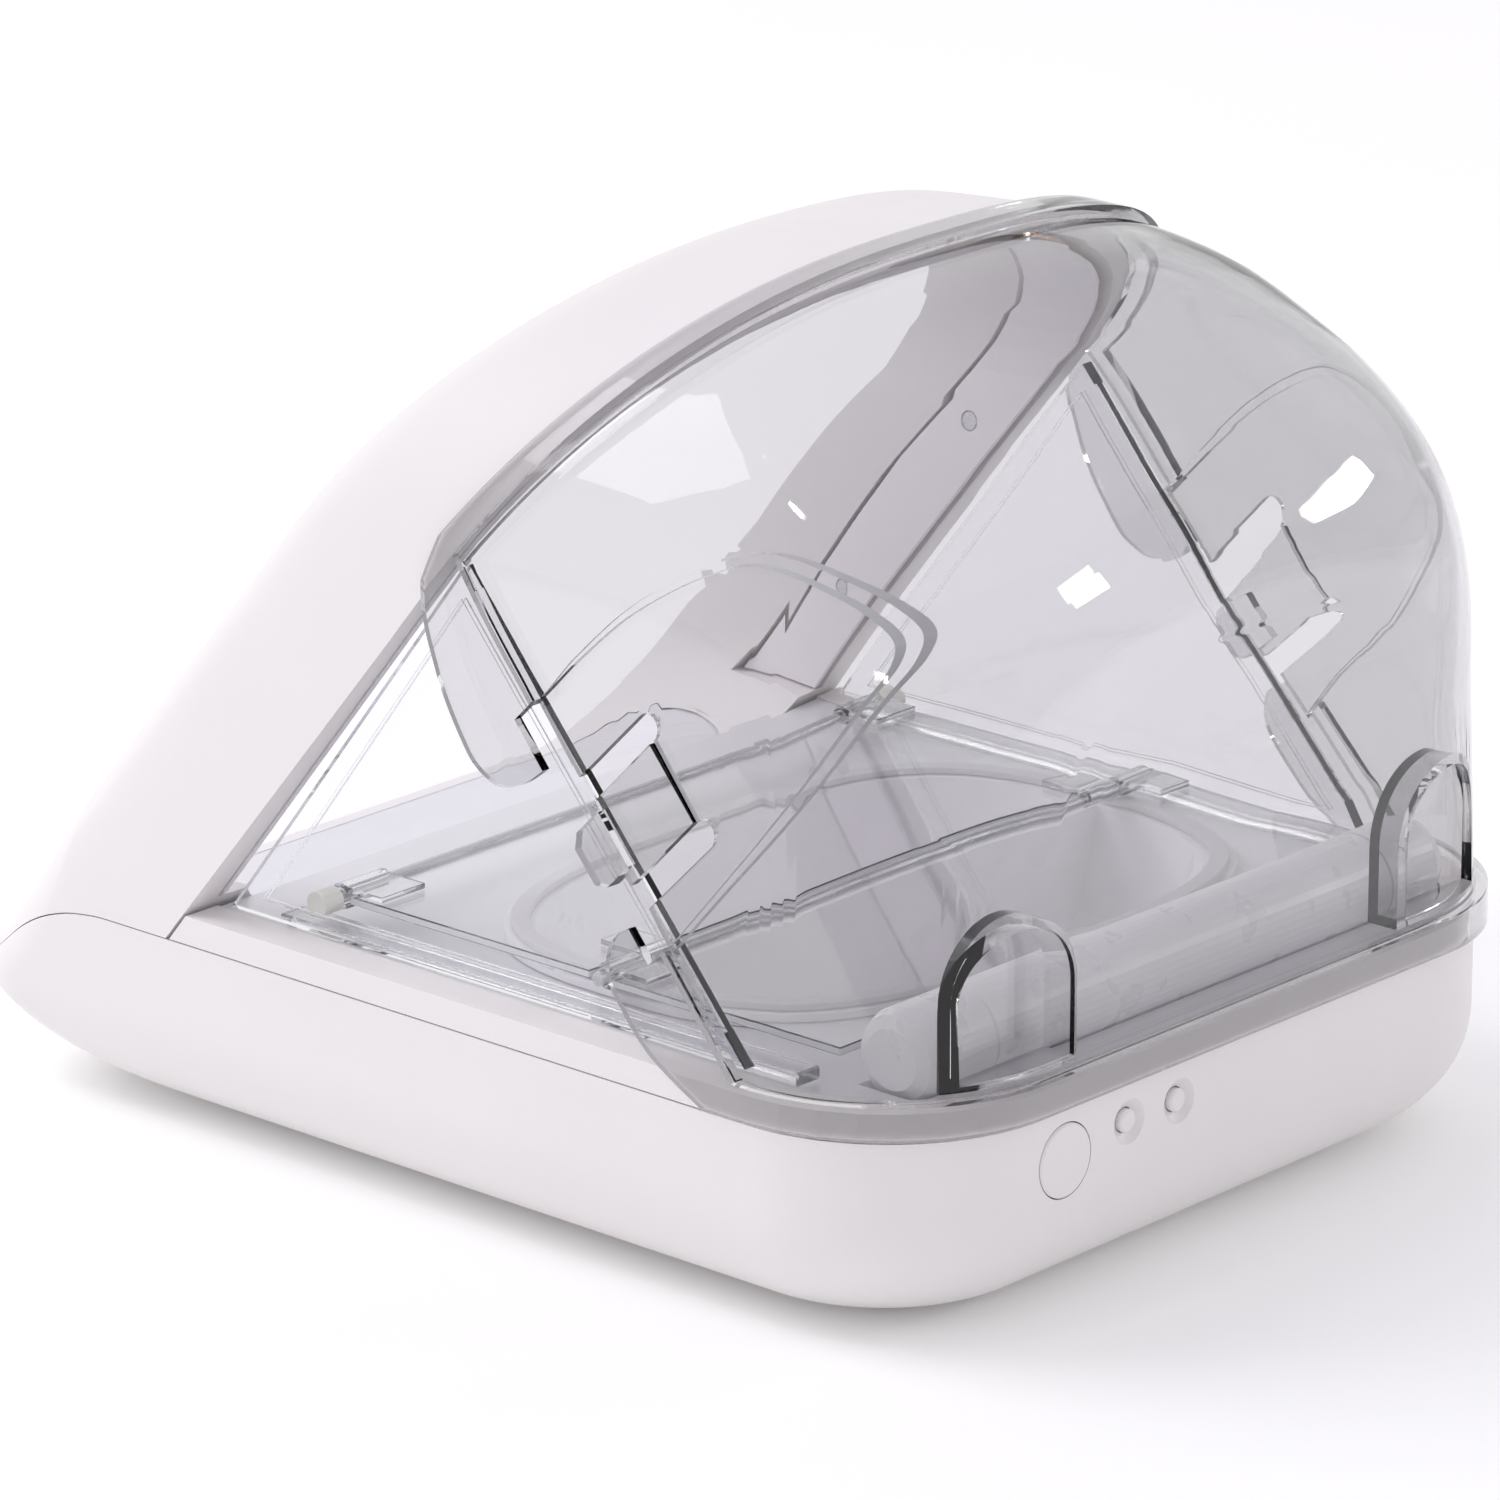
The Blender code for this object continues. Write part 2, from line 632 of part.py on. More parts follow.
# ---- clear hood ----------------------------------------------------------
SEAM_LINE = [(99.0, 58.0), (12.45, 159.6)]  # foot and top (y, z)
APEX_Z = SEAM_LINE[1][1]
PANEL_EDGE = [(33.5, 127.2), (48.1, 142.1), (61.9, 154.8), (75.4, 164.2),
              (85.9, 169.7), (93.1, 172.1), (102.0, 171.7), (110.6, 169.5),
              (119.4, 165.8), (126.2, 160.7), (127.6, 155.5), (125.4, 149.0),
              (117.8, 134.3), (105.5, 116.9), (91.3, 99.7), (79.5, 85.6),
              (75.0, 80.4)]
TONGUE, SLOT, LATCH_LONG = 10.2, 6.4, 27.0  # half width, slot, depth
LATCH_AT = (60.0, 103.8)   # where the latch meets the seam (y, z)
ALONG = (0.648, -0.761)    # down the seam
ACROSS = (0.700, 0.714)    # into the hood, along the slots


def seam_at(z):
    (y0, z0), (y1, z1) = SEAM_LINE
    return y0 + (y1 - y0) * (z - z0) / (z1 - z0)


def latch_point(depth, down):
    return (LATCH_AT[0] + ACROSS[0] * depth + ALONG[0] * down,
            LATCH_AT[1] + ACROSS[1] * depth + ALONG[1] * down)


def before_seam(shift):
    return [(-200, 20), (seam_at(20) + shift, 20),
            (seam_at(APEX_Z) + shift, APEX_Z),
            (rim_line(260, -shift * SL), 260), (-200, 260)]


def lip_profiles():
    """Side profiles of the lip: base rim with side flanges, then arch lip."""
    low = [(240, 51.3), (92, 51.3), (76, 60), (66, 70), (62.5, 77),
           (64.5, 84), (70, 88), (seam_at(88) + 3, 88), (seam_at(60) + 4, 60),
           (240, 60)]
    high = [(seam_at(119) + 3, 119), (43, 118), (36, 112.8), (29, 111),
            (22.8, 113.5), (18.3, 118), (10.8, 130), (5.5, 144), (4.2, 153)]
    high += [(rim_line(z, 6.0), z) for z in (163.8, 260)]
    high += [(rim_line(z, -3.0), z) for z in (260, APEX_Z)]
    return low, high


def keep_only(obj, profile, name):
    return boolean(obj, flat(name, profile, "x", (-160, 160), None), "INTERSECT")


def panel_slab(name, side, grow, depth):
    """Side panel prism, less everything deeper than depth in the hood."""
    cy = sum(y for y, _ in PANEL_EDGE) / len(PANEL_EDGE)
    cz = sum(z for _, z in PANEL_EDGE) / len(PANEL_EDGE)
    edge = []
    for y, z in PANEL_EDGE:
        far = math.hypot(y - cy, z - cz)
        edge.append((cy + (y - cy) * (far + grow) / far,
                     cz + (z - cz) * (far + grow) / far))
    slab = flat(name, edge, "x", (side * 70.0, side * 140.0), None)
    return cut(slab, loft(name + "_core", hood_rings(-depth, foot=20), None))


def niche(name, side, grow, depth):
    """Round-topped finger niche, sunk depth into the rear face."""
    cx, rad, low, high = 75.0, 16.0 + grow, 62.0 - grow, 79.0
    pts = [(cx + rad, low)]
    for a in range(0, 181, 15):
        t = math.radians(a)
        pts.append((cx + rad * math.cos(t), high + rad * math.sin(t)))
    pts.append((cx - rad, low))
    return flat(name, [(side * x, z) for x, z in pts], "y",
                (REAR_Y - depth, REAR_Y + 20), None)


def latch_gap():
    """Side profile of the two round-ended slots and the tongue's place."""
    pts = [(-14, -TONGUE - SLOT)]
    for way in (-1, 1):
        middle = way * (TONGUE + SLOT / 2)
        for a in (0, 35, 70, 110, 145, 180):
            t = math.radians(a)
            pts.append((LATCH_LONG - 2 + SLOT / 2 * math.sin(t),
                        middle - SLOT / 2 * math.cos(t)))
    pts.append((-14, TONGUE + SLOT))
    return [latch_point(*p) for p in pts]


def build_latch(tag, side):
    """Flexing tongue between the slots, with its outer lug."""
    root = latch_point(LATCH_LONG - 2.3, 0)
    half = TONGUE - 0.3
    plate = [latch_point(d, w) for d, w in (
        (-1.5, -half), (LATCH_LONG - 2.3, -half), (LATCH_LONG - 2.3, half),
        (-1.5, half))]
    pad = [latch_point(d, w) for d, w in (
        (3, -7), (3, 7), (-6, 7), (-9, 4.5), (-9, -4.5), (-6, -7))]
    tongue = flat(f"hood_latch_{tag}", plate, "x", (side * 108.9, side * 111.1),
                  "clear")
    boolean(tongue, flat(f"add_lug_{tag}", pad, "x", (side * 109.4, side * 113.4),
                         None), "UNION")
    hang(joint_axis(f"latch_axis_{tag}", (side * 110.0, *root)), tongue)


def build_hood():
    hood = loft("hood", hood_rings(0.0), "clear")
    cut(hood, flat("cut_hood_front", before_seam(0), "x", (-160, 160), None),
        box("cut_hood_low", (-160, 160), (-100, 200), (0, 58.5), None))
    for k, profile in enumerate(lip_profiles()):
        lip = loft(f"add_lip_{k}", hood_rings(LIP), None)
        boolean(hood, keep_only(lip, profile, f"keep_lip_{k}"), "UNION")
    inside = loft("cut_hood_inside", hood_rings(-HOOD_T, foot=30), None)
    for tag, side in SIDES:
        cut(inside, panel_slab(f"keep_panel_{tag}", side, 1.8, RECESS + HOOD_T),
            niche(f"keep_niche_{tag}", side, 2.0, 10.6))
    loose = loft("cut_lip_inside", hood_rings(0.3, foot=30), None)
    low = [(240, 30), (-60, 30), (-60, 230), (rim_line(230, 0.3), 230),
           (rim_line(APEX_Z, 0.3), APEX_Z), (seam_at(58.5), 58.5), (240, 58.5)]
    cut(hood, inside, keep_only(loose, low, "keep_lip_inside"))
    for tag, side in SIDES:
        cut(hood, panel_slab(f"cut_panel_{tag}", side, 0.0, RECESS),
            niche(f"cut_niche_{tag}", side, 0.0, 8.6),
            flat(f"cut_latch_{tag}", latch_gap(), "x", (side * 90, side * 140),
                 None))
        build_latch(tag, side)


def main():
    clear_scene()
    build_tray()
    build_feet()
    build_buttons()
    build_batteries()
    build_ramp(build_arch())
    build_arch_inside()
    build_deck()
    build_windows()
    build_bowl()
    build_lid()
    build_drive()
    build_hood()


main()
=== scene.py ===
"""Looks of the automatic pet feeder: materials, fine surfaces, light and camera."""

import json
import math

import bmesh
import bpy
from mathutils import Matrix, Vector


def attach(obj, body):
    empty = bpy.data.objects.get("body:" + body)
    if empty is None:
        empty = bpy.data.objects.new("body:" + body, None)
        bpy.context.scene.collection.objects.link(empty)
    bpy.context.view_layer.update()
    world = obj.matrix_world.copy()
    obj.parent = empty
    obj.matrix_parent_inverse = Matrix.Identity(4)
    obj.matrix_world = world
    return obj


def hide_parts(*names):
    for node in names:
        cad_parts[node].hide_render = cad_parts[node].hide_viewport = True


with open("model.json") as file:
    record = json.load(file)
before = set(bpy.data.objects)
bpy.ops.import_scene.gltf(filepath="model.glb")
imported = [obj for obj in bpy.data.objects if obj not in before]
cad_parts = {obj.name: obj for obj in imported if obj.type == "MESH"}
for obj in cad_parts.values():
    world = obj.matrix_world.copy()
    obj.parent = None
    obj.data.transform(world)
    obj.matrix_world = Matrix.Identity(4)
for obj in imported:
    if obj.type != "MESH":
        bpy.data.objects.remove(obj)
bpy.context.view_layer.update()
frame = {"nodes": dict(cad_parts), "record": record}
NODES = frame["nodes"]


# ---- camera --------------------------------------------------------------
AZIMUTH, ELEVATION = math.radians(131.91), math.radians(18.30)
CAMERA_AT = (1.38215, 1.24116, 0.69908)
LENS, SENSOR = 201.2, 36.0


def build_camera():
    data = bpy.data.cameras.new("camera")
    data.sensor_width = SENSOR
    data.lens = LENS
    data.clip_start, data.clip_end = 0.05, 50.0
    cam = bpy.data.objects.new("camera", data)
    back = Vector((math.sin(AZIMUTH) * math.cos(ELEVATION),
                   -math.cos(AZIMUTH) * math.cos(ELEVATION),
                   math.sin(ELEVATION)))
    right = Vector((0, 0, 1)).cross(back).normalized()
    up = back.cross(right)
    turn = Matrix((right, up, back)).transposed().to_4x4()
    cam.matrix_world = Matrix.Translation(CAMERA_AT) @ turn
    bpy.context.scene.collection.objects.link(cam)
    bpy.context.scene.camera = cam


# ---- material helpers ----------------------------------------------------
def new_material(name):
    mat = bpy.data.materials.new(name)
    mat.use_nodes = True
    return mat, mat.node_tree, mat.node_tree.nodes["Principled BSDF"]


def noise(tree, scale, detail=3.0, stretch=(1, 1, 1)):
    """Noise over the surface, its size set in the object's own metres."""
    place = tree.nodes.new("ShaderNodeTexCoord")
    mapping = tree.nodes.new("ShaderNodeMapping")
    mapping.inputs["Scale"].default_value = stretch
    pattern = tree.nodes.new("ShaderNodeTexNoise")
    pattern.inputs["Scale"].default_value = scale
    pattern.inputs["Detail"].default_value = detail
    tree.links.new(place.outputs["Object"], mapping.inputs["Vector"])
    tree.links.new(mapping.outputs["Vector"], pattern.inputs["Vector"])
    return pattern.outputs["Fac"]


def spread(tree, value, low, high):
    """The pattern's middle range stretched over low to high."""
    ramp = tree.nodes.new("ShaderNodeMapRange")
    ramp.inputs["From Min"].default_value = 0.3
    ramp.inputs["From Max"].default_value = 0.7
    ramp.inputs["To Min"].default_value = low
    ramp.inputs["To Max"].default_value = high
    tree.links.new(value, ramp.inputs["Value"])
    return ramp.outputs["Result"]


def blend_colour(tree, value, first, second):
    """Mix of two colours; sockets 0, 6, 7 are factor, A and B in colour mode."""
    mix = tree.nodes.new("ShaderNodeMix")
    mix.data_type = "RGBA"
    mix.inputs[6].default_value = (*first, 1)
    mix.inputs[7].default_value = (*second, 1)
    tree.links.new(value, mix.inputs[0])
    return mix.outputs[2]


def bump(tree, shader, layers):
    """Chain of bumps from (pattern, depth in metres, strength) layers."""
    last = None
    for value, depth, strength in layers:
        node = tree.nodes.new("ShaderNodeBump")
        node.inputs["Distance"].default_value = depth
        node.inputs["Strength"].default_value = strength
        tree.links.new(value, node.inputs["Height"])
        if last is not None:
            tree.links.new(last, node.inputs["Normal"])
        last = node.outputs["Normal"]
    tree.links.new(last, shader.inputs["Normal"])


def scaled(colour, by):
    return tuple(min(1.0, c * by) for c in colour)


# ---- materials -----------------------------------------------------------
def moulded(name, colour, rough=(0.34, 0.46), grain=2600.0, depth=0.00002,
            metallic=0.0, tone=0.03):
    """Opaque moulded plastic: fine spark grain, slow tone and gloss drift."""
    mat, tree, shader = new_material(name)
    drift = noise(tree, 14.0, 2.0)
    fine = noise(tree, grain, 2.0)
    tree.links.new(blend_colour(tree, drift, scaled(colour, 1 - tone),
                                scaled(colour, 1 + tone)),
                   shader.inputs["Base Color"])
    tree.links.new(spread(tree, noise(tree, 90.0), *rough),
                   shader.inputs["Roughness"])
    shader.inputs["Metallic"].default_value = metallic
    shader.inputs["IOR"].default_value = 1.52
    bump(tree, shader, [(drift, 0.00012, 0.1), (fine, depth, 0.4)])
    return mat


def clear(name, colour, rough=(0.01, 0.03), ripple=0.0001, streak=(1, 1, 1)):
    """Clear moulded plastic with faint flow ripples; lamps pass through."""
    mat, tree, shader = new_material(name)
    shader.inputs["Base Color"].default_value = (*colour, 1)
    shader.inputs["Transmission Weight"].default_value = 1.0
    shader.inputs["IOR"].default_value = 1.5
    flow = noise(tree, 26.0, 2.0, streak)
    tree.links.new(spread(tree, noise(tree, 160.0), *rough),
                   shader.inputs["Roughness"])
    bump(tree, shader, [(flow, ripple, 0.35)])
    through = tree.nodes.new("ShaderNodeBsdfTransparent")
    through.inputs["Color"].default_value = (*(math.sqrt(c) for c in colour), 1)
    path = tree.nodes.new("ShaderNodeLightPath")
    mix = tree.nodes.new("ShaderNodeMixShader")
    tree.links.new(path.outputs["Is Shadow Ray"], mix.inputs["Fac"])
    tree.links.new(shader.outputs["BSDF"], mix.inputs[1])
    tree.links.new(through.outputs["BSDF"], mix.inputs[2])
    tree.links.new(mix.outputs["Shader"],
                   tree.nodes["Material Output"].inputs["Surface"])
    return mat


def metal(name, colour, stretch):
    """Brushed or drawn metal, its scratches along the long way."""
    mat, tree, shader = new_material(name)
    lines = noise(tree, 900.0, 4.0, stretch)
    tree.links.new(blend_colour(tree, lines, scaled(colour, 0.9),
                                scaled(colour, 1.08)),
                   shader.inputs["Base Color"])
    tree.links.new(spread(tree, lines, 0.2, 0.34), shader.inputs["Roughness"])
    shader.inputs["Metallic"].default_value = 1.0
    bump(tree, shader, [(lines, 0.00002, 0.4)])
    return mat


NODE_LOOKS = {
    "entry_ramp": "apron", "hinge_barrel": "barrel", "barrel_end_left": "barrel",
    "barrel_end_right": "barrel", "arch_liner": "liner", "bowl_seal": "seal",
    "slide_rail_left": "rail", "slide_rail_right": "rail",
}


def pale_edges(mesh, look):
    """Painted light: the cut edges of a flat clear panel scatter light, painted
    here as an opaque pale colour.
    """
    mesh.materials.append(look)
    for face in mesh.polygons:
        if abs(face.normal.z) < 0.5:
            face.material_index = 1


def build_looks():
    """Finishes for the record's slots, and for nodes that differ in tone."""
    looks = {
        "white_plastic": moulded("white_plastic", (0.815, 0.785, 0.79)),
        "liner": moulded("liner", (0.90, 0.86, 0.90)),
        "grey_plastic": moulded("grey_plastic", (0.89, 0.87, 0.90),
                                (0.26, 0.36), 3200.0, 0.000012),
        "apron": moulded("apron", (0.72, 0.71, 0.75)),
        "silver_plastic": moulded("silver_plastic", (0.74, 0.73, 0.76),
                                  (0.28, 0.38), 4200.0, 0.00001, 0.15),
        "barrel": moulded("barrel", (0.91, 0.90, 0.93), (0.26, 0.32), 4200.0,
                          0.000006, 0.06),
        "rail": clear("rail", (0.95, 0.95, 0.965), (0.14, 0.17), 0.00001),
        # Painted light: an opaque pale colour put on clear edges in place of the
        # light they scatter.
        "painted_edge_light": moulded("painted_edge_light", (0.80, 0.80, 0.83), (0.2, 0.3), 3200.0,
                            0.000008),
        "clear_plastic": clear("clear_plastic", (0.94, 0.94, 0.955)),
        "hood": clear("hood", (0.73, 0.725, 0.735), (0.008, 0.022),
                      streak=(1.0, 1.0, 0.35)),
        "rubber": moulded("rubber", (0.05, 0.05, 0.055), (0.7, 0.85), 1500.0,
                          0.00004, tone=0.12),
        "seal": moulded("seal", (0.62, 0.60, 0.63), (0.5, 0.6), 1500.0, 0.00002),
        "steel": metal("steel", (0.58, 0.58, 0.60), (0.06, 1, 1)),
        "copper": metal("copper", (0.72, 0.38, 0.22), (1, 0.05, 1)),
        "board": moulded("board", (0.03, 0.18, 0.08), (0.35, 0.5), 1800.0,
                         tone=0.15),
        "cell": moulded("cell", (0.08, 0.08, 0.10), (0.25, 0.4), 2000.0,
                        tone=0.1),
        "nylon": moulded("nylon", (0.80, 0.78, 0.72), (0.4, 0.55), 1800.0),
    }
    for part in frame["record"]["subparts"]:
        node = part["node"]
        mesh = NODES[node].data
        mesh.materials.clear()
        mesh.materials.append(looks[NODE_LOOKS.get(node, part["material_slot"])])
    for tag in ("left", "right"):
        NODES[f"hood_latch_{tag}"].data.materials[0] = looks["hood"]
    # Painted light: the lid panels' edge faces get the opaque pale colour.
    for node in ("lid_front_panel", "lid_rear_panel"):
        pale_edges(NODES[node].data, looks["painted_edge_light"])
    return looks


# ---- fine surfaces: outlines ---------------------------------------------
# Millimetres here; the same driving sizes as the CAD, sampled much finer.
MM = 0.001
HALF_W, REAR_Y, NOSE_Y, CORNER_R, FILLET_R = 115.0, 148.5, -151.5, 45.0, 28.0
LEAN = math.radians(50.8)
CL, SL = math.cos(LEAN), math.sin(LEAN)
RIM_Y, RIM_Z = -70.4, 58.0
ROOF = [(-60, 219.2), (40, 219.2), (62, 218.9), (80, 216.2), (98, 208.2),
        (118, 196.0), (132, 184.0), (142, 169.0), (147, 157.0), (148.5, 146.0)]
NOSE = [(2, -108), (5, -124), (9, -135), (14, -143), (19, -148.5),
        (24, NOSE_Y), (28, -150.5), (32.2, -147.4), (36.2, -142.4)]
NOSE_R = [(2, 40), (10, 32), (19, 26), (36, 20), (60, 16), (100, 9)]
PARTING = [(200, 50), (-98, 50), (-108, 49), (-117, 46.5), (-126, 42),
           (-134, 36.5), (-142, 30), (-150, 24), (-175, 10)]
WALL, RECESS, LIP = 2.2, 1.8, 2.6
HOOP_HALF = 111.2          # half width where the walls spring into the roof
HOOD_FOOT = 58.5           # lower edge of the hood's wall, above its lip
CLEAR = 0.3                # running gap around the hood and the buttons
OUT = 160                  # beyond the object, for tools that cut right through
ARC_STEPS = 110            # around a roof arch
SIDES = (1, -1)            # left, right


def smooth(table, value):
    """Cubic through a table of points that never overshoots between them."""
    if value <= table[0][0]:
        return table[0][1]
    if value >= table[-1][0]:
        return table[-1][1]
    slopes = [(b[1] - a[1]) / (b[0] - a[0]) for a, b in zip(table, table[1:])]
    ends = [slopes[0]] + [0 if p * q <= 0 else 2 * p * q / (p + q)
                          for p, q in zip(slopes, slopes[1:])] + [slopes[-1]]
    k = next(k for k, (limit, _) in enumerate(table[1:]) if value <= limit)
    (a, va), (b, vb) = table[k], table[k + 1]
    t, span = (value - a) / (b - a), b - a
    return ((2 * t ** 3 - 3 * t * t + 1) * va
            + (t ** 3 - 2 * t * t + t) * span * ends[k]
            + (3 * t * t - 2 * t ** 3) * vb
            + (t ** 3 - t * t) * span * ends[k + 1])


def rim_line(z, offset):
    """y at height z on the leaning plane, moved forward by an offset."""
    return RIM_Y + ((z - RIM_Z) * CL - offset) / SL


def on_plane(x, z, offset):
    return (x, rim_line(z, offset), z)


def leaning(x, s, offset):
    """Point at distance s up the leaning plane, moved forward by an offset."""
    return (x, RIM_Y + s * CL - offset * SL, RIM_Z + s * SL + offset * CL)


def side_line(foot, steps=8):
    """(x, z) points up the straight side of the body, below its spring."""
    top = 66.0
    table = [(foot, HALF_W), (50.0, HALF_W), (top, 114.2)]
    return [(smooth(table, foot + (top - foot) * k / steps),
             foot + (top - foot) * k / steps) for k in range(steps + 1)]


def hoop(half, top, spring, power, low):
    """Arch of superellipse form over the points of one side wall, mirrored."""
    pts = list(low)
    for i in range(ARC_STEPS + 1):
        t = math.pi * i / ARC_STEPS
        c, s = math.cos(t), math.sin(t)
        pts.append((half * math.copysign(abs(c) ** (2 / power), c),
                    spring + (top - spring) * abs(s) ** (2 / power)))
    return pts + [(-x, z) for x, z in reversed(low)]


def hood_rings(grow, foot=40.0):
    """Rings of the roof from front to rear, grown outward by grow."""
    front, turn_y = -60.0, REAR_Y - CORNER_R
    stations = [(front + (turn_y - front) * k / 26, 0.0) for k in range(27)]
    for k in range(1, 23):
        t = math.radians(90.0 * k / 22)
        stations.append((REAR_Y - CORNER_R * (1 - math.sin(t)),
                         CORNER_R * (1 - math.cos(t))))
    rings = []
    for y, pull in stations:
        roof = smooth(ROOF, y)
        rad = max(0.0, (y - turn_y) / CORNER_R)
        low = [(x - pull + grow, z) for x, z in side_line(foot)]
        ring = hoop(HOOP_HALF - pull + grow, roof + grow,
                    60 + (roof - 60) * 0.474, 2.6, low)
        rings.append([(x, y + grow * rad, z) for x, z in ring])
    return rings


def rounded_plan(half, front, rear, r_front, r_rear):
    pts, steps = [], 20
    for cx, cy, rad, start in (
            (half - r_front, front + r_front, r_front, -90),
            (half - r_rear, rear - r_rear, r_rear, 0),
            (-half + r_rear, rear - r_rear, r_rear, 90),
            (-half + r_front, front + r_front, r_front, 180)):
        for i in range(steps + 1):
            t = math.radians(start + 90.0 * i / steps)
            pts.append((cx + rad * math.cos(t), cy + rad * math.sin(t)))
    return pts


def inset(z):
    """How far the fillet under the tray pulls its wall in at height z."""
    rise = max(0.0, FILLET_R - (z - 2.0))
    return FILLET_R - math.sqrt(max(0.0, FILLET_R ** 2 - rise ** 2))


def nose(z):
    return smooth(NOSE, z) if z <= NOSE[-1][0] else rim_line(z, 42.0)


def tray_ring(z, wall=0.0, at=None):
    pull = inset(z) + wall
    plan = rounded_plan(HALF_W - pull, nose(z) + wall * 1.2, REAR_Y - pull,
                        smooth(NOSE_R, z) - wall, CORNER_R - 0.7 * pull)
    return [(x, y, z if at is None else at) for x, y in plan]


def parting_profile(offset, far_z):
    table = sorted(PARTING)
    ys = [200, -90] + [-90 - 3 * k for k in range(1, 29)]
    return ([(y, smooth(table, y) + offset) for y in ys]
            + [(-176, far_z), (200, far_z)])


# ---- fine surfaces: solids and cuts --------------------------------------
def solid(name, rings):
    """Closed loft through rings of equal count."""
    bm = bmesh.new()
    rows = [[bm.verts.new(Vector(p) * MM) for p in ring] for ring in rings]
    for a, b in zip(rows, rows[1:]):
        for i in range(len(a)):
            j = (i + 1) % len(a)
            bm.faces.new((a[i], a[j], b[j], b[i]))
    bm.faces.new(list(reversed(rows[0])))
    bm.faces.new(rows[-1])
    bmesh.ops.recalc_face_normals(bm, faces=bm.faces)
    mesh = bpy.data.meshes.new(name)
    bm.to_mesh(mesh)
    bm.free()
    obj = bpy.data.objects.new(name, mesh)
    bpy.context.scene.collection.objects.link(obj)
    return obj


def prism(name, outline, axis, low, high):
    low, high = sorted((low, high))
    put = {"x": lambda u, v, w: (w, u, v), "y": lambda u, v, w: (u, w, v),
           "z": lambda u, v, w: (u, v, w)}[axis]
    return solid(name, [[put(u, v, w) for u, v in outline]
                        for w in (low, high)])


def block(name, xs, ys, zs):
    (x0, x1), (y0, y1), (z0, z1) = (sorted(v) for v in (xs, ys, zs))
    return prism(name, [(x0, y0), (x1, y0), (x1, y1), (x0, y1)], "z", z0, z1)


def rod(name, axis, centre, stations):
    """Turned solid from (distance, radius) stations along y or z."""
    rings, steps = [], 48
    for along, rad in stations:
        ring = []
        for i in range(steps):
            t = 2 * math.pi * i / steps
            u, v = rad * math.cos(t), rad * math.sin(t)
            offset = (u, along, v) if axis == "y" else (u, v, along)
            ring.append(tuple(c + o for c, o in zip(centre, offset)))
        rings.append(ring)
    return solid(name, rings)


def apply_modifiers(obj):
    ready = obj.evaluated_get(bpy.context.evaluated_depsgraph_get())
    done = bpy.data.meshes.new_from_object(ready)
    obj.modifiers.clear()
    obj.data = done


def combine(target, kind, *tools):
    """Exact boolean with each tool in turn; the tools are used up."""
    for tool in tools:
        mod = target.modifiers.new("cut", "BOOLEAN")
        mod.operation, mod.solver, mod.object = kind, "EXACT", tool
    apply_modifiers(target)
    for tool in tools:
        bpy.data.objects.remove(tool, do_unlink=True)
    return target


def cut(target, *tools):
    return combine(target, "DIFFERENCE", *tools)


def finish_piece(obj, body, node, look, sharp=32.0):
    """Shade, paint and attach a fine piece that stands for a CAD node."""
    bm = bmesh.new()
    bm.from_mesh(obj.data)
    bmesh.ops.remove_doubles(bm, verts=bm.verts, dist=0.000002)
    bmesh.ops.dissolve_degenerate(bm, edges=bm.edges, dist=0.000002)
    bm.to_mesh(obj.data)
    bm.free()
    obj.data.materials.clear()
    obj.data.materials.append(look)
    obj.data.shade_smooth()
    obj.data.set_sharp_from_angle(angle=math.radians(sharp))
    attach(obj, body)
    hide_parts(node)


# ---- fine surfaces: tray and arch ----------------------------------------
BUTTONS = [(61.6, 38.1, 8.6), (39.6, 41.0, 2.7), (22.2, 41.0, 2.7)]  # x, z, radius


def build_tray(looks):
    zs = [2 + 0.3 * k * k / 4 for k in range(9)]
    zs += [8.5 + 1.8 * k for k in range(16)] + [40, 44, 58]
    tray = solid("tray_skin", [tray_ring(z) for z in sorted(zs)])
    inner = [tray_ring(z, 3.0, at=z + (2.5 if z < 6 else 0)) for z in
             (2.6, 4, 5.5, 8.5, 12, 17, 23, 30, 60)]
    tools = [solid("tool_inner", inner),
             prism("tool_above", parting_profile(-0.15, 120), "x", -140, 140)]
    for side in SIDES:
        tools.append(block("tool_bay", (side * 6, side * 62), (-91, -36.4),
                           (-1, 9)))
        for x, y in ((side * 72, -84), (side * 74, 108)):
            tools.append(rod("tool_foot", "z", (x, y, -1), [(0, 7.3),
                                                            (4.3, 7.3)]))
    for x, z, rad in BUTTONS:
        seat = [(0, rad + CLEAR), (9, rad + CLEAR)]
        if rad < 5:
            seat = [(0, rad + CLEAR), (6.9, rad + CLEAR), (7.5, 4.3), (8.6, 5.3),
                    (10, 5.6)]
        tools.append(rod("tool_seat", "y", (x, REAR_Y - 8.6, z), seat))
    cut(tray, *tools)
    finish_piece(tray, "base", "base_tray", looks["white_plastic"])


def arch_ring(offset, pull):
    """Outline of the entrance arch at an offset in front of the leaning plane."""
    k = offset / 40.0
    half, top = HOOP_HALF - 2.2 * k - pull, 208.0 - 35.5 * k - pull
    spring, power = 100.0 - 15.0 * k, 2.6 - 0.35 * k
    pts = [on_plane(x - pull, z, offset) for x, z in side_line(8.0, 10)]
    for i in range(ARC_STEPS + 1):
        t = math.pi * i / ARC_STEPS
        c, s = math.cos(t), math.sin(t)
        pts.append(leaning(half * math.copysign(abs(c) ** (2 / power), c),
                           spring + (top - spring) * abs(s) ** (2 / power),
                           offset))
    return pts + [on_plane(-x + pull, z, offset)
                  for x, z in reversed(side_line(8.0, 10))]


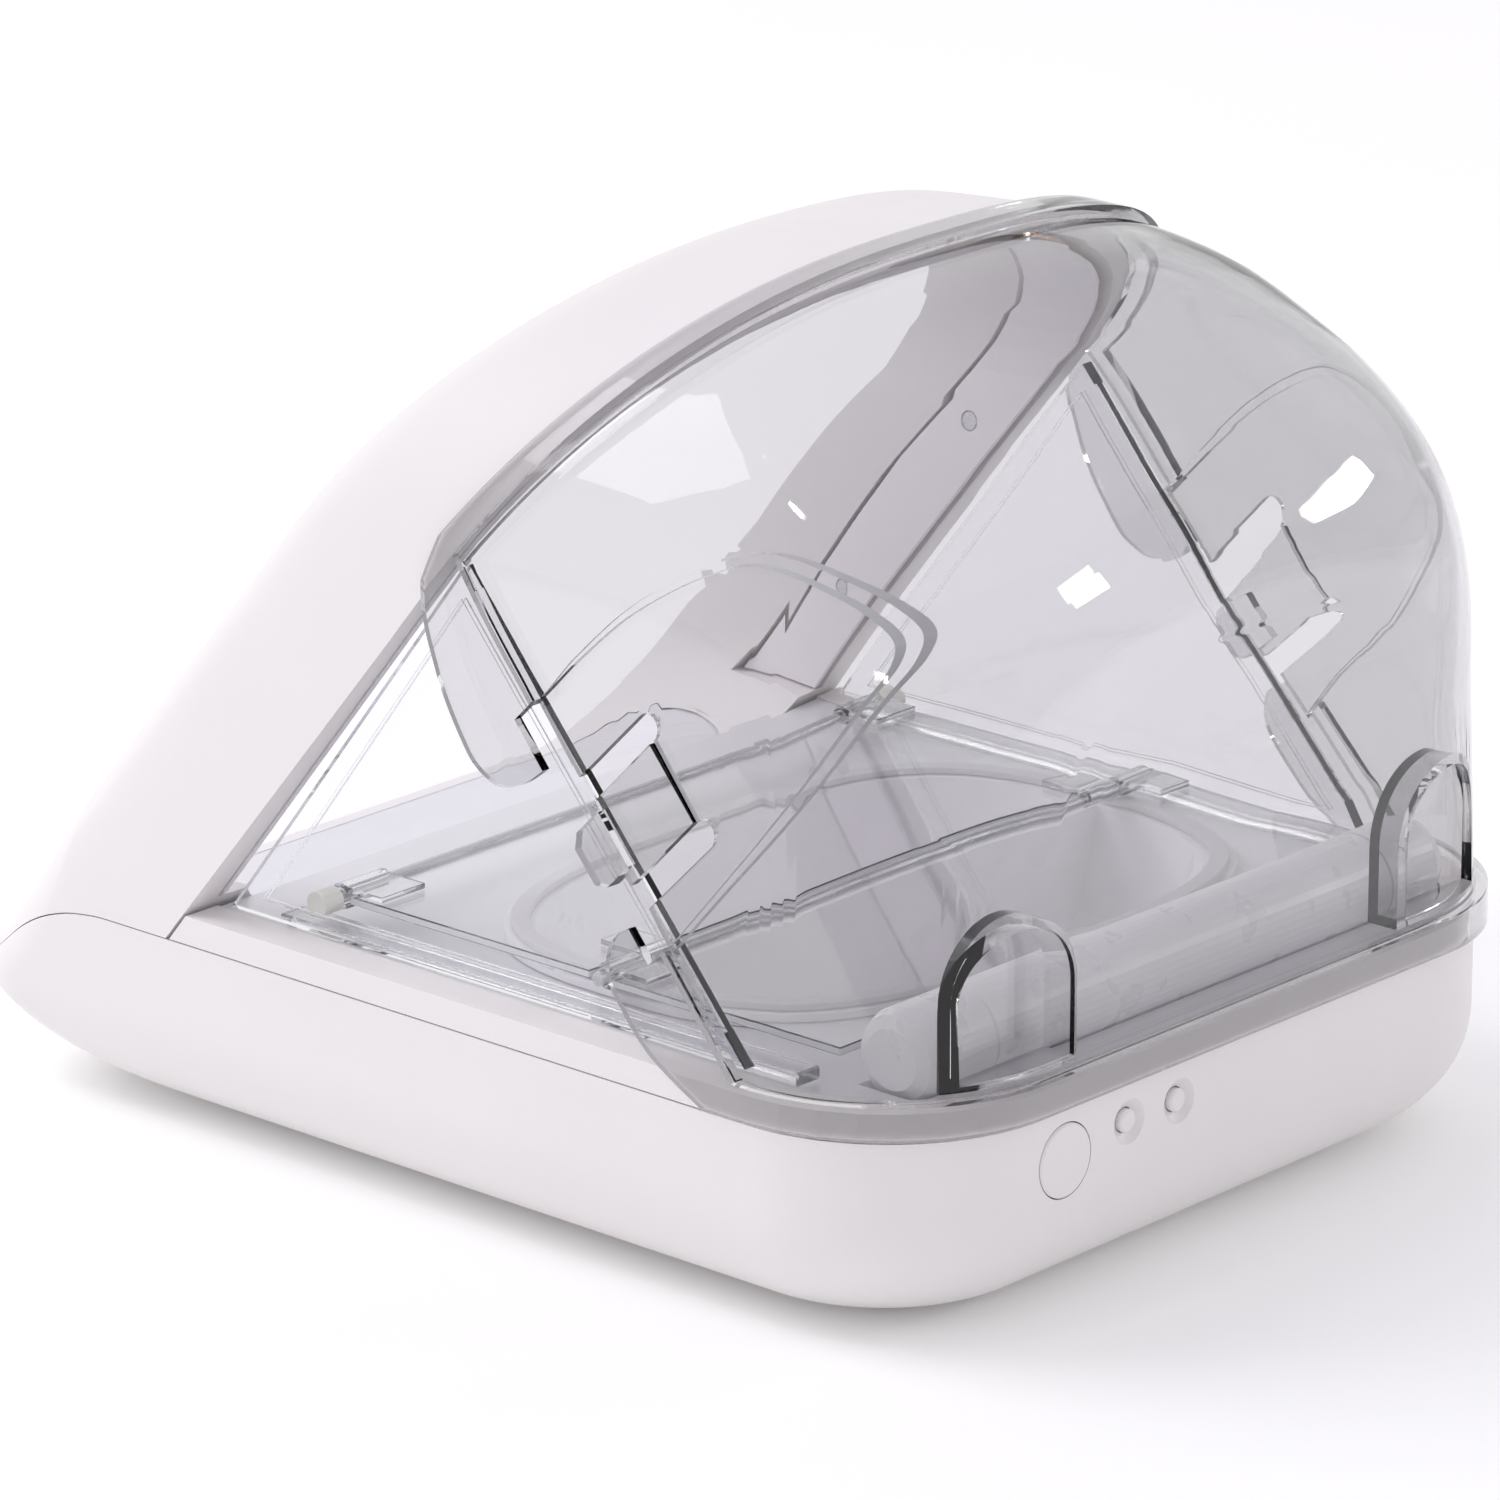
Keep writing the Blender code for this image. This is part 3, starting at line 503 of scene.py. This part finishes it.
def tunnel(name, half, top, low0, low1, rad):
    """Long arched solid with rounded lower corners, for openings and seats."""
    rings = []
    for y, low in ((-200, low0), (90, low1)):
        ring = hoop(half, top, 142 + (half - 102) * 0.3, 2.4,
                    [(half, low + rad + 2)])
        for sign, angles in ((-1, range(0, 91, 6)), (1, range(90, -1, -6))):
            for a in angles:
                t = math.radians(a)
                ring.append((sign * (half - rad + rad * math.cos(t)),
                             low + rad - rad * math.sin(t)))
        rings.append([(x, y, z) for x, z in ring])
    return solid(name, rings)


def ramp_z(y):
    return 33.0 + (y + 143.0) * (54.5 - 33.0) / 77.0


def in_front_of(offset):
    """Side profile of all space in front of the leaning plane at an offset."""
    return [(-230, -20), (rim_line(-20, offset), -20),
            (rim_line(260, offset), 260), (-230, 260)]


def build_arch(looks):
    steps = [(0.6, 0), (8, 0), (16, 0), (24, 0), (30, 0.1), (33, 0.3)]
    steps += [(33 + 9 * math.sin(math.radians(a)),
               0.3 + 10.4 * (1 - math.cos(math.radians(a))))
              for a in range(15, 91, 12)]
    arch = solid("arch_skin", [arch_ring(o, p) for o, p in steps])
    hull = []
    for z in (12, 16, 20, 24, 28, 32.2, 36.2, 42, 50, 58, 66, 80, 100, 240):
        plan = rounded_plan(HALF_W + 0.05, nose(z), 120, smooth(NOSE_R, z), 20)
        hull.append([(x, y, z) for x, y in plan])
    combine(arch, "INTERSECT", solid("tool_hull", hull))
    seat = tunnel("tool_seat", 105.6, 213.6, 59.5, 59.5, 0.5)
    cut(seat, prism("tool_seat_front", in_front_of(20.3), "x", -150, 150))
    under = [(-200, -20), (-200, ramp_z(-200) - 3), (-66, ramp_z(-66) - 3),
             (-60, -20)]
    hollow = prism("tool_hollow", under, "x", -103, 103)
    cut(hollow, prism("tool_hollow_front", in_front_of(38.0), "x", -150, 150))
    cut(arch, tunnel("tool_entry", 102, 210, ramp_z(-200), ramp_z(90), 24),
        seat, hollow,
        prism("tool_below", parting_profile(0.15, -60), "x", -140, 140))
    finish_piece(arch, "base", "arch_shell", looks["white_plastic"],
                 28.0)


# ---- fine surfaces: hood -------------------------------------------------
SEAM_FOOT, SEAM_TOP = (99.0, 58.0), (12.45, 159.6)
APEX_Z = SEAM_TOP[1]
PANEL_EDGE = [(33.5, 127.2), (48.1, 142.1), (61.9, 154.8), (75.4, 164.2),
              (85.9, 169.7), (93.1, 172.1), (102.0, 171.7), (110.6, 169.5),
              (119.4, 165.8), (126.2, 160.7), (127.6, 155.5), (125.4, 149.0),
              (117.8, 134.3), (105.5, 116.9), (91.3, 99.7), (79.5, 85.6),
              (75.0, 80.4)]
TONGUE, SLOT, LATCH_LONG = 10.2, 6.4, 27.0
LATCH_AT, ALONG, ACROSS = (60.0, 103.8), (0.648, -0.761), (0.700, 0.714)


def seam_at(z):
    (y0, z0), (y1, z1) = SEAM_FOOT, SEAM_TOP
    return y0 + (y1 - y0) * (z - z0) / (z1 - z0)


def latch_point(depth, down):
    """(y, z) from a depth across and a distance along the latch."""
    return (LATCH_AT[0] + ACROSS[0] * depth + ALONG[0] * down,
            LATCH_AT[1] + ACROSS[1] * depth + ALONG[1] * down)


def rounded(points):
    """Soft curve through points (Catmull-Rom)."""
    out, last, steps = [], len(points) - 1, 5
    for i in range(last):
        p = [points[min(max(i + k, 0), last)] for k in (-1, 0, 1, 2)]
        for s in range(steps):
            t = s / steps
            out.append(tuple(0.5 * (
                2 * p[1][a] + (p[2][a] - p[0][a]) * t
                + (2 * p[0][a] - 5 * p[1][a] + 4 * p[2][a] - p[3][a]) * t ** 2
                + (3 * p[1][a] - p[0][a] - 3 * p[2][a] + p[3][a]) * t ** 3)
                for a in (0, 1)))
    return out + [points[-1]]


def lip_profiles():
    """Side profiles of the raised lip: its low part, then its high part."""
    flange = rounded([(92, 51.3), (76, 60), (66, 70), (62.5, 77), (64.5, 84),
                      (70, 88)])
    low = [(240, 51.3)] + flange + [(seam_at(88) + 3, 88),
                                    (seam_at(60) + 4, 60), (240, 60)]
    edge = rounded([(43, 118), (36, 112.8), (29, 111), (22.8, 113.5),
                    (18.3, 118), (10.8, 130), (5.5, 144), (4.2, 153)])
    high = [(seam_at(119) + 3, 119)] + edge
    high += [(rim_line(z, 6.0), z) for z in (163.8, 260)]
    high += [(rim_line(z, -3.0), z) for z in (260, APEX_Z)]
    return low, high


def panel_slab(name, side, grow, depth):
    """Side panel, from a depth under the hood's surface and outward."""
    cy = sum(y for y, _ in PANEL_EDGE) / len(PANEL_EDGE)
    cz = sum(z for _, z in PANEL_EDGE) / len(PANEL_EDGE)
    edge = []
    for y, z in rounded(PANEL_EDGE[1:-1]):
        far = math.hypot(y - cy, z - cz)
        edge.append((cy + (y - cy) * (far + grow) / far,
                     cz + (z - cz) * (far + grow) / far))
    edge = [PANEL_EDGE[0]] + edge + [PANEL_EDGE[-1]]
    slab = prism(name, edge, "x", side * 70.0, side * 140.0)
    return cut(slab, solid("tool_core", hood_rings(-depth, foot=20)))


def niche(name, side, grow, depth):
    cx, rad, low, top = 75.0, 16.0 + grow, 62.0 - grow, 79.0
    pts = [(cx + rad, low)]
    for a in range(0, 181, 6):
        t = math.radians(a)
        pts.append((cx + rad * math.cos(t), top + rad * math.sin(t)))
    pts.append((cx - rad, low))
    return prism(name, [(side * x, z) for x, z in pts], "y", REAR_Y - depth,
                 REAR_Y + 20)


def latch_gap():
    """Outline of the opening the latch lies in, round at the end of each slot."""
    pts = [(-14, -TONGUE - SLOT)]
    for way in (-1, 1):
        middle = way * (TONGUE + SLOT / 2)
        for a in range(0, 181, 12):
            t = math.radians(a)
            pts.append((LATCH_LONG - 2 + SLOT / 2 * math.sin(t),
                        middle - SLOT / 2 * math.cos(t)))
    pts.append((-14, TONGUE + SLOT))
    return [latch_point(*p) for p in pts]


def keep_only(obj, profile):
    return combine(obj, "INTERSECT",
                   prism("tool_keep", profile, "x", -OUT, OUT))


def outline_gap(y, z):
    """Distance, in the side view, from a point to the side panel's outline."""
    here, line = Vector((y, z)), rounded(PANEL_EDGE[1:-1])
    gaps = []
    for a, b in zip(line, line[1:]):
        a, along = Vector(a), Vector(b) - Vector(a)
        part = (here - a).dot(along) / along.length_squared
        gaps.append((here - a - min(max(part, 0), 1) * along).length)
    return min(gaps)


def pale_rims(mesh, look):
    """Painted light: the stepped rims of the side panels scatter light like a cut
    edge, painted as the same opaque pale colour.
    """
    mesh.materials.append(look)
    for face in mesh.polygons:
        x, y, z = face.center / MM
        if abs(x) > 70 and abs(face.normal.x) < 0.35 and outline_gap(y, z) < 2.6:
            face.material_index = 1


def build_hood(looks):
    before = [(-200, 20), (seam_at(20), 20), (seam_at(APEX_Z), APEX_Z),
              (rim_line(260, 0), 260), (-200, 260)]
    hood = solid("hood_skin", hood_rings(0.0))
    cut(hood, prism("tool_front", before, "x", -OUT, OUT),
        block("tool_low", (-OUT, OUT), (-100, 200), (0, HOOD_FOOT)))
    for profile in lip_profiles():
        combine(hood, "UNION", keep_only(solid("tool_lip", hood_rings(LIP)),
                                         profile))
    inside = solid("tool_inside", hood_rings(-WALL, foot=30))
    for side in SIDES:
        cut(inside, panel_slab("tool_keep_panel", side, 1.8, RECESS + WALL),
            niche("tool_keep_niche", side, 2.0, 10.6))
    low = [(240, 30), (-60, 30), (-60, 230), (rim_line(230, CLEAR), 230),
           (rim_line(APEX_Z, CLEAR), APEX_Z), (seam_at(HOOD_FOOT), HOOD_FOOT),
           (240, HOOD_FOOT)]
    cut(hood, inside, keep_only(solid("tool_loose", hood_rings(CLEAR, foot=30)),
                                low))
    for side in SIDES:
        cut(hood, panel_slab("tool_panel", side, 0.0, RECESS),
            niche("tool_niche", side, 0.0, 8.6),
            prism("tool_latch", latch_gap(), "x", side * 90, side * 140))
    finish_piece(hood, "hood", "hood", looks["hood"],
                 30.0)
    # Painted light: opaque pale colour on the side panels' rims.
    pale_rims(hood.data, looks["painted_edge_light"])


# Small lamps: name, point on the hood (mm), mirror ray from it, size, power.
HIGHLIGHTS = [
    ("spark", (94.1, 99.4, 181.8), (0.44, -0.115, 0.891), (0.06, 0.06), 1.2),
    ("strip", (-41.8, 141.5, 166.8), (-0.869, 0.434, 0.238), (0.5, 0.12), 3.5),
    ("oval", (47.9, 142.1, 164.2), (-0.55, 0.746, 0.376), (0.22, 0.12), 1.8),
    ("dot", (97.3, 125.1, 153.1), (0.655, 0.642, 0.399), (0.14, 0.12), 1.2),
]


# ---- light and floor -----------------------------------------------------
LAMP_DISTANCE = 2.0        # metres from the hood to a small lamp


def area_light(name, at, target, size, power, colour=(1, 1, 1)):
    data = bpy.data.lights.new(name, "AREA")
    data.shape = "RECTANGLE"
    data.size, data.size_y = size
    data.energy = power
    data.color = colour
    lamp = bpy.data.objects.new(name, data)
    lamp.location = at
    lamp.rotation_euler = (Vector(target) - Vector(at)).to_track_quat(
        "-Z", "Y").to_euler()
    bpy.context.scene.collection.objects.link(lamp)
    return lamp


def build_stage():
    """Pale floor that gives off a little light, the key lamp and small lamps."""
    bm = bmesh.new()
    bmesh.ops.create_grid(bm, x_segments=2, y_segments=2, size=12.0)
    mesh = bpy.data.meshes.new("floor")
    bm.to_mesh(mesh)
    bm.free()
    floor = bpy.data.objects.new("floor", mesh)
    floor.location.z = -0.0002
    bpy.context.scene.collection.objects.link(floor)
    mat, tree, shader = new_material("floor")
    tree.links.new(blend_colour(tree, noise(tree, 3.0), (0.955, 0.955, 0.955),
                                (0.975, 0.975, 0.97)),
                   shader.inputs["Base Color"])
    shader.inputs["Emission Color"].default_value = (1, 1, 0.985, 1)
    shader.inputs["Emission Strength"].default_value = 0.08
    shader.inputs["Roughness"].default_value = 0.9
    mesh.materials.append(mat)
    build_world()
    middle = (0, 0, 0.08)
    key = area_light("key", (1.0, -1.6, 2.0), middle, (1.4, 1.4), 24,
                     (1, 0.99, 1))
    key.visible_glossy = False
    for name, hit, ray, size, power in HIGHLIGHTS:
        at = Vector(hit) * MM + Vector(ray).normalized() * LAMP_DISTANCE
        area_light(name, at, Vector(hit) * MM, size, power)


def build_world():
    """Soft studio: bright in front and overhead, dimmer behind (+Y)."""
    world = bpy.data.worlds.new("world")
    world.use_nodes = True
    tree = world.node_tree
    sky = tree.nodes["Background"]
    place = tree.nodes.new("ShaderNodeTexCoord")
    split = tree.nodes.new("ShaderNodeSeparateXYZ")
    tree.links.new(place.outputs["Generated"], split.inputs["Vector"])
    levels = []
    for axis, start, first, last in (("Y", -0.9, 0.99, 0.54),
                                     ("Z", 0.35, 0.0, 1.0)):
        ramp = tree.nodes.new("ShaderNodeMapRange")
        ramp.inputs["From Min"].default_value = start
        ramp.inputs["From Max"].default_value = 0.9
        ramp.inputs["To Min"].default_value = first
        ramp.inputs["To Max"].default_value = last
        tree.links.new(split.outputs[axis], ramp.inputs["Value"])
        levels.append(ramp.outputs["Result"])
    tree.links.new(levels[0], sky.inputs["Strength"])
    tree.links.new(blend_colour(tree, levels[1], (1.0, 1.0, 1.0),
                                (0.94, 0.91, 1.0)), sky.inputs["Color"])
    bpy.context.scene.world = world
    bpy.context.scene.view_settings.view_transform = "Standard"


build_camera()
LOOKS = build_looks()
build_tray(LOOKS)
build_arch(LOOKS)
build_hood(LOOKS)
build_stage()
